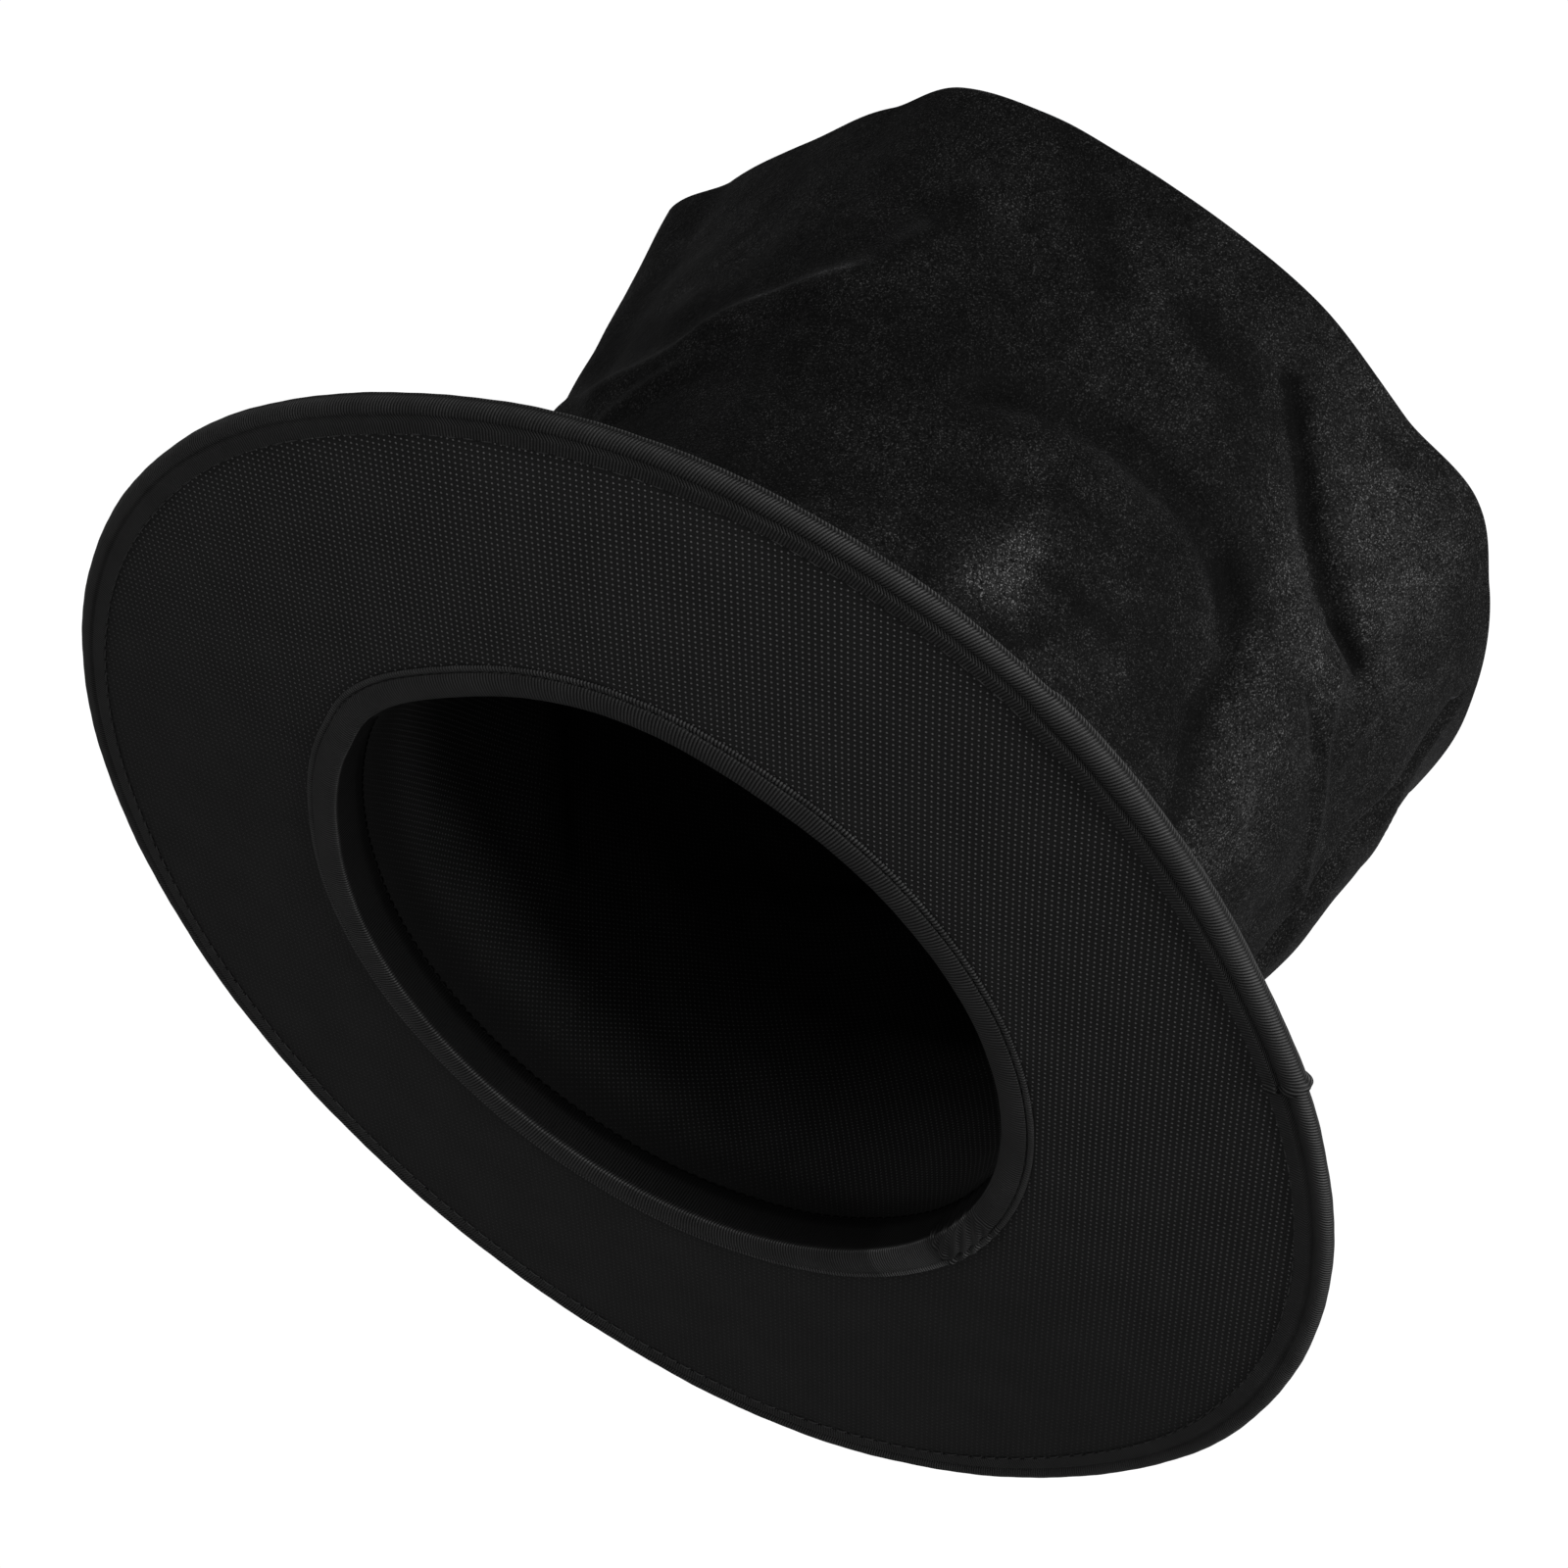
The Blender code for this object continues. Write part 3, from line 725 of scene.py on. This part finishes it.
def distance_to(path, s, z):
    """Distance from each (s, z) to the polyline, how far along that is, and whether (s, z) is on its left."""
    best = np.full(s.shape, 1e9)
    where, left = np.zeros(s.shape), np.zeros(s.shape, bool)
    pts = np.array(path, float)
    total = len(pts) - 1
    for k in range(total):
        (x0, y0), (x1, y1) = pts[k], pts[k + 1]
        dx, dy = x1 - x0, y1 - y0
        t = np.clip(((s - x0) * dx + (z - y0) * dy) / (dx * dx + dy * dy), 0, 1)
        d = np.hypot(s - x0 - t * dx, z - y0 - t * dy)
        closer = d < best
        best = np.where(closer, d, best)
        where = np.where(closer, (k + t) / total, where)
        left = np.where(closer, dx * (z - y0) - dy * (s - x0) > 0, left)
    return best, where, left


NA, NT = 640, 240
crown_angles = np.arange(NA) * FULL / NA
crown_t = np.linspace(0, 1, NT)
MEAN_RADIUS = 116.0
LEAN_X, LEAN_Y = -2.7, -3.7  # how far the crown's top stands off to one side


def crown_field():
    """Radius and height of the crown's outer face on a grid of direction and height share."""
    a = crown_angles[:, None]
    t = crown_t[None, :]
    base = oval_radius(a, OPEN_WIDE, OPEN_LONG) + CROWN_BASE_OUT
    rim = oval_radius(a, RIM_WIDE, RIM_LONG) + periodic(RIM_PULL, a)
    low = brim_height(a, brim_share(base, a)) + BRIM_LAYERS["velvet"][1] - 3.0
    rim_height = RIM_HEIGHT - 2.0 + 1.6 * ripple(a, 2.2)
    z = low + (rim_height - low) * t
    flare = np.clip((z - 12) / (rim_height - 12), 0, 1) ** 1.2
    r = base + (rim - base) * flare + periodic(OPENING_PULL, a) * np.exp(-((z - low) / 16) ** 2)
    for depth, below, above, path in FOLDS:
        near, where, left = around_hat(path, a, z)
        width = np.where(left, above, below)
        fade = np.sin(math.pi * np.clip(0.15 + 0.7 * where, 0, 1)) ** 0.7
        r = r - depth * np.exp(-((near / width) ** 2)) * fade
    return r, z


def softened(path, passes=2):
    """A path with its corners cut, so that a few points make a smooth curve."""
    spots = np.array(path, float)
    for _ in range(passes):
        quarter = 0.75 * spots[:-1] + 0.25 * spots[1:]
        three = 0.25 * spots[:-1] + 0.75 * spots[1:]
        cut = np.stack([quarter, three], axis=1).reshape(-1, 2)
        spots = np.concatenate([spots[:1], cut[1:-1], spots[-1:]])
    return spots


def around_hat(path, a, z):
    """distance_to for a path of (direction, height), whichever way round the hat is nearest."""
    spots = [(math.radians(d) * MEAN_RADIUS, h + MIDDLE) for d, h in softened(path)]
    middle = sum(s for s, _ in spots) / len(spots)
    round_about = FULL * MEAN_RADIUS
    s = a * MEAN_RADIUS + 0 * z
    s = s - round_about * np.round((s - middle) / round_about)
    return distance_to(spots, s, z)


def noise_grid(z, round_scale, high_scale, shift):
    """Noise over the crown's wall on the same grid as its points."""
    out = np.zeros_like(z)
    for i in range(NA):
        c, s = math.cos(crown_angles[i]) * round_scale, math.sin(crown_angles[i]) * round_scale
        for j in range(NT):
            out[i, j] = noise.noise(Vector((c, s, z[i, j] / high_scale + shift)))
    return out


def blur(grid, passes):
    for _ in range(passes):
        grid = (np.roll(grid, 1, 0) + 2 * grid + np.roll(grid, -1, 0)) / 4
        inner = (grid[:, :-2] + 2 * grid[:, 1:-1] + grid[:, 2:]) / 4
        grid = np.concatenate([grid[:, :1], inner, grid[:, -1:]], axis=1)
    return grid


outer_r, outer_z = crown_field()
hold = np.sin(math.pi * np.clip(crown_t[None, :] * 0.93 + 0.02, 0, 1)) ** 0.7
swells = 2.6 * noise_grid(outer_z, 2.6, 46.0, 0) + 0.8 * noise_grid(outer_z, 7.0, 17.0, 9)
outer_r = outer_r + swells * hold
ragged = noise_grid(outer_z, 14.0, 8.0, 3) * 3.0
# Painted shade and painted light for the velvet, laid along the table above together with the nap.
nap_and_painted_light_field = np.zeros_like(outer_r)
for stops, half_width, path in NAP_AND_PAINTED_LIGHT:
    near, _, _ = around_hat(path, crown_angles[:, None], outer_z)
    away = np.clip(near + ragged * min(1, half_width / 6), 0, None)
    nap_and_painted_light_field += stops * np.exp(-(away / half_width) ** 3)


def innermost(grid, reach):
    """The least radius near each point, so that a stiffer layer stays behind every fold."""
    around = np.min([np.roll(grid, k, 0) for k in range(-reach, reach + 1)], axis=0)
    wide = np.pad(around, ((0, 0), (reach, reach)), mode="edge")
    return np.min([wide[:, k:k + grid.shape[1]] for k in range(2 * reach + 1)], axis=0)


calm_r = blur(innermost(outer_r, 4), 3)


def crown_xyz(r, z):
    lean = np.clip(z / RIM_HEIGHT, 0, 1)
    a = crown_angles[:, None]
    return np.stack([r * np.cos(a) + CENTRE_X + LEAN_X * lean, r * np.sin(a) + LEAN_Y * lean, z], axis=-1)


def crown_layer(name, depth_out, depth_in, top, rows):
    """A closed tube behind the crown's folds, between two depths in from them. top trims its upper end."""
    j = np.unique(np.round(np.linspace(0, (NT - 1) * top, rows)).astype(int))
    outside = crown_xyz(calm_r[:, j] - depth_out, outer_z[:, j])
    inside = crown_xyz(calm_r[:, j] - depth_in, outer_z[:, j])[:, ::-1]
    points = np.concatenate([outside, inside], axis=1)
    arc = np.repeat((crown_angles * MEAN_RADIUS * MM)[:, None], points.shape[1], axis=1)
    arc = np.pad(arc, ((0, 1), (0, 1)), mode="edge")
    arc[-1, :] = FULL * MEAN_RADIUS * MM
    high = np.pad(points[..., 2] * MM, ((0, 1), (0, 1)), mode="wrap")
    rise = points[..., 2] - MIDDLE
    # Painted shade on the lining: dark behind the head tape's collar and again deep inside, a little lighter
    # between.
    painted_shading = -3.4 * (1 - smooth((rise - 9) / 20))  # dark behind the head tape's collar and again deep inside
    painted_shading = painted_shading + 0.5 * smooth((rise - 25) / 15) - 1.6 * smooth((rise - 60) / 60)
    obj = paint(mesh_grid(name, points, wrap_v=True, uv=(arc, high)), "painted_shading", painted_shading)
    # Inside the crown the dots are raised less and painted dimmer: painted shade.
    return paint(obj, "emboss_and_painted_light", 0.4 + 0 * painted_shading)


VELVET_THICK = 0.75
ROLL_RADIUS = 2.0


def crown_side():
    """The velvet side, its top rolled in over the tip's seam."""
    turns = np.linspace(0.35, 2.6, 6)
    roll = [(ROLL_RADIUS * (1 - math.cos(turn)), ROLL_RADIUS * math.sin(turn)) for turn in turns]
    rolled = [crown_xyz(outer_r[:, -1:] - dr, outer_z[:, -1:] + dz) for dr, dz in roll]
    outside = np.concatenate([crown_xyz(outer_r, outer_z), *rolled], axis=1)
    inside = crown_xyz(outer_r[:, ::-1] - VELVET_THICK, outer_z[:, ::-1])
    points = np.concatenate([outside, inside], axis=1)
    rim_nap_and_painted_light = np.repeat(nap_and_painted_light_field[:, -1:], len(roll), axis=1)
    nap_and_painted_light = np.concatenate([nap_and_painted_light_field, rim_nap_and_painted_light, nap_and_painted_light_field[:, ::-1]], axis=1)
    return paint(mesh_grid("crown_side_velvet_soft", points, wrap_v=True), "nap_and_painted_light", nap_and_painted_light)


side = crown_side()
finish_piece(side, VELVET, "crushed_velvet", "crown_side_velvet")
felt = crown_layer("crown_side_felt", 1.0, 2.4, 0.955, 120)
finish_piece(felt, FELT, "crown_felt", "crown_side_stiffener")
lining = crown_layer("crown_side_lining_dotted", 2.75, 3.2, 0.985, 120)
finish_piece(lining, NONWOVEN, "dotted_nonwoven", "crown_side_lining")


def tip_layer(name, inset, drop, thick, rows, rise, edge_drop=0.0):
    """An oval panel across the crown's top, domed a little and closed on both faces."""
    share = np.linspace(0.0, 1, rows) ** 0.8
    share[0] = 0.004
    a = crown_angles[:, None]
    rim_r = outer_r[:, -1:] - inset
    rim_z = outer_z[:, -1:]
    middle = float(rim_z.mean())
    r = rim_r * share[None, :]
    out = []
    for level, flip in ((-drop, False), (-drop - thick, True)):
        s = share[None, ::-1] if flip else share[None, :]
        rr = r[:, ::-1] if flip else r
        dome = middle + (rim_z - middle) * s ** 2 + rise * (1 - s ** 2) + level
        edge = edge_drop * np.clip((s - 0.955) / 0.045, 0, 1) ** 2
        z = dome - edge
        x, y = rr * np.cos(a) + CENTRE_X + LEAN_X, rr * np.sin(a) + LEAN_Y
        out.append(np.stack([x, y, z + 0 * rr], axis=-1))
    points = np.concatenate([out[0], out[1]], axis=1)
    inward = np.clip(1 - np.concatenate([share, share[::-1]]) ** 6, 0, 1)
    points[..., 2] += 0.9 * plan_noise(points, 38.0) * inward
    return face_out(mesh_grid(name, points, uv=plan_uv(points), cap_ends=True))


def plan_noise(points, scale):
    """Soft unevenness over the ground, the same for every layer."""
    flat = points[..., :2].reshape(-1, 2)
    out = [noise.noise(Vector((x / scale, y / scale, 5.0))) for x, y in flat]
    return np.array(out).reshape(points.shape[:2])


tip = tip_layer("crown_tip_velvet_soft", 3.6, -1.6, VELVET_THICK, 40, edge_drop=3.2, rise=3.2)
finish_piece(tip, VELVET, "crushed_velvet", "crown_tip_velvet")
tip_felt = tip_layer("crown_tip_felt", 6.5, 2.2, 1.4, 16, rise=3.2)
finish_piece(tip_felt, FELT, "crown_felt", "crown_tip_stiffener")
tip_lining = tip_layer("crown_tip_lining_dotted", 7.5, 4.0, 0.45, 30, rise=3.2)
finish_piece(tip_lining, NONWOVEN, "dotted_nonwoven", "crown_tip_lining")


SEAM_THREAD = 0.25  # radius
SEAM_PITCH = 3.5
TIP_STITCHES, BACK_STITCHES = 240, 54


def seam_stitches():
    """Stitches round the tip, and up the seam that closes the crown's side at the back."""
    verts, faces = [], []
    turn = np.arange(5) * FULL / 5
    along = np.linspace(-0.4, 0.4, 5)
    back = NA * 3 // 4
    for k in range(BACK_STITCHES):
        base = len(verts)
        for u in along:
            z = 14 + (k + u) * SEAM_PITCH
            r = np.interp(z, outer_z[back], outer_r[back]) + 0.1 - 0.5 * abs(u * 2.5) ** 3
            lean = z / RIM_HEIGHT
            for w in turn:
                x = SEAM_THREAD * math.cos(w) + CENTRE_X + LEAN_X * lean
                verts.append((x, -r - SEAM_THREAD * math.sin(w) + LEAN_Y * lean, z))
        close_thread(faces, base, len(along), len(turn))
    for k in range(TIP_STITCHES):
        base = len(verts)
        for u in along:
            a = (k + 0.5 + u) / TIP_STITCHES * FULL
            r = np.interp(a % FULL, crown_angles, outer_r[:, -1]) - 3.4
            z = np.interp(a % FULL, crown_angles, outer_z[:, -1]) - 0.6 - 0.5 * abs(u * 2.5) ** 3
            for w in turn:
                rr = r + SEAM_THREAD * math.cos(w)
                x, y = rr * math.cos(a) + CENTRE_X + LEAN_X, rr * math.sin(a) + LEAN_Y
                verts.append((x, y, z + SEAM_THREAD * math.sin(w)))
        close_thread(faces, base, len(along), len(turn))
    return stitch_object("tip_seam_stitches", verts, faces, False)


finish_piece(seam_stitches(), THREAD, "sewing_thread", "tip_seam_thread", "back_seam_thread")


# ---------------------------------------------------------------- stage, light and camera

FLOOR_DEPTH = 1.3


def paper(name, level):
    n = Nodes(name)
    place = n.add("ShaderNodeTexCoord").outputs["Object"]
    tone = n.ramp(n.noise(place, 3, 2, 0.5), ((0.3, level * 0.98), (0.7, level)))
    n.set(color=tone, rough=0.9, specular=0.1)
    return n.material


bpy.ops.mesh.primitive_circle_add(vertices=96, radius=9, fill_type="NGON", location=(0, 0, -FLOOR_DEPTH))
floor = bpy.context.object
floor.name = "floor"
floor.data.materials.append(paper("floor_paper", 0.85))

world = bpy.data.worlds.new("studio")
bpy.context.scene.world = world
world.use_nodes = True
AMBIENT = 0.36  # the room's own light, much weaker than the white paper behind the hat looks
sky = world.node_tree.nodes["Background"]
sky.inputs["Color"].default_value = (1, 1, 1, 1)
ray = world.node_tree.nodes.new("ShaderNodeLightPath")
strength = world.node_tree.nodes.new("ShaderNodeMapRange")
strength.inputs["To Min"].default_value = AMBIENT
strength.inputs["To Max"].default_value = 1.05
world.node_tree.links.new(ray.outputs["Is Camera Ray"], strength.inputs["Value"])
world.node_tree.links.new(strength.outputs[0], sky.inputs["Strength"])

# The camera looks up at the underside of the hat from its left, and is turned about its own axis
CAMERA_AIM = Vector((-24.8, 11.4, 53.4)) * MM  # from the middle of the brim
CAMERA_DISTANCE = 0.8
CAMERA_AZIMUTH, CAMERA_RISE, CAMERA_ROLL = (math.radians(d) for d in (-9.454, 37.35, 37.685))
LENS = 72.0

across = math.cos(CAMERA_RISE)
VIEW = Vector((across * math.cos(CAMERA_AZIMUTH), across * math.sin(CAMERA_AZIMUTH), math.sin(CAMERA_RISE)))
LEVEL = VIEW.cross(Vector((0, 0, 1))).normalized()
UPRIGHT = LEVEL.cross(VIEW)
RIGHT = LEVEL * math.cos(CAMERA_ROLL) + UPRIGHT * math.sin(CAMERA_ROLL)
UP = UPRIGHT * math.cos(CAMERA_ROLL) - LEVEL * math.sin(CAMERA_ROLL)
EYE = CAMERA_AIM - VIEW * CAMERA_DISTANCE

camera = bpy.data.objects.new("camera", bpy.data.cameras.new("camera"))
bpy.context.scene.collection.objects.link(camera)
camera.data.lens = LENS
camera.data.sensor_width = 36.0
camera.data.clip_start = 0.01
camera.data.clip_end = 50
axes = Matrix((RIGHT, UP, -VIEW)).transposed()
camera.matrix_world = Matrix.Translation(EYE + Vector((CENTRE_X * MM, 0, MIDDLE * MM))) @ axes.to_4x4()
bpy.context.scene.camera = camera


def softbox(name, towards, distance, size, power):
    """A square light that looks at the hat from a direction given along the camera's right, up and back."""
    right, up, back = towards
    way = (RIGHT * right + UP * up - VIEW * back).normalized()
    data = bpy.data.lights.new(name, "AREA")
    data.shape = "SQUARE"
    data.size = size
    data.energy = power
    light = bpy.data.objects.new(name, data)
    bpy.context.scene.collection.objects.link(light)
    light.location = Vector((0, 0, 0.08)) + way * distance
    light.rotation_mode = "QUATERNION"
    light.rotation_quaternion = (-way).to_track_quat("-Z", "Y")
    return light


softbox("key", (1.0, -0.02, 0.84), 1.15, 0.7, 62)
softbox("fill", (-0.7, 0.9, 0.75), 1.8, 1.2, 40)

scene = bpy.context.scene
scene.view_settings.view_transform = "Standard"
scene.view_settings.look = "None"
scene.view_settings.exposure = 0.0
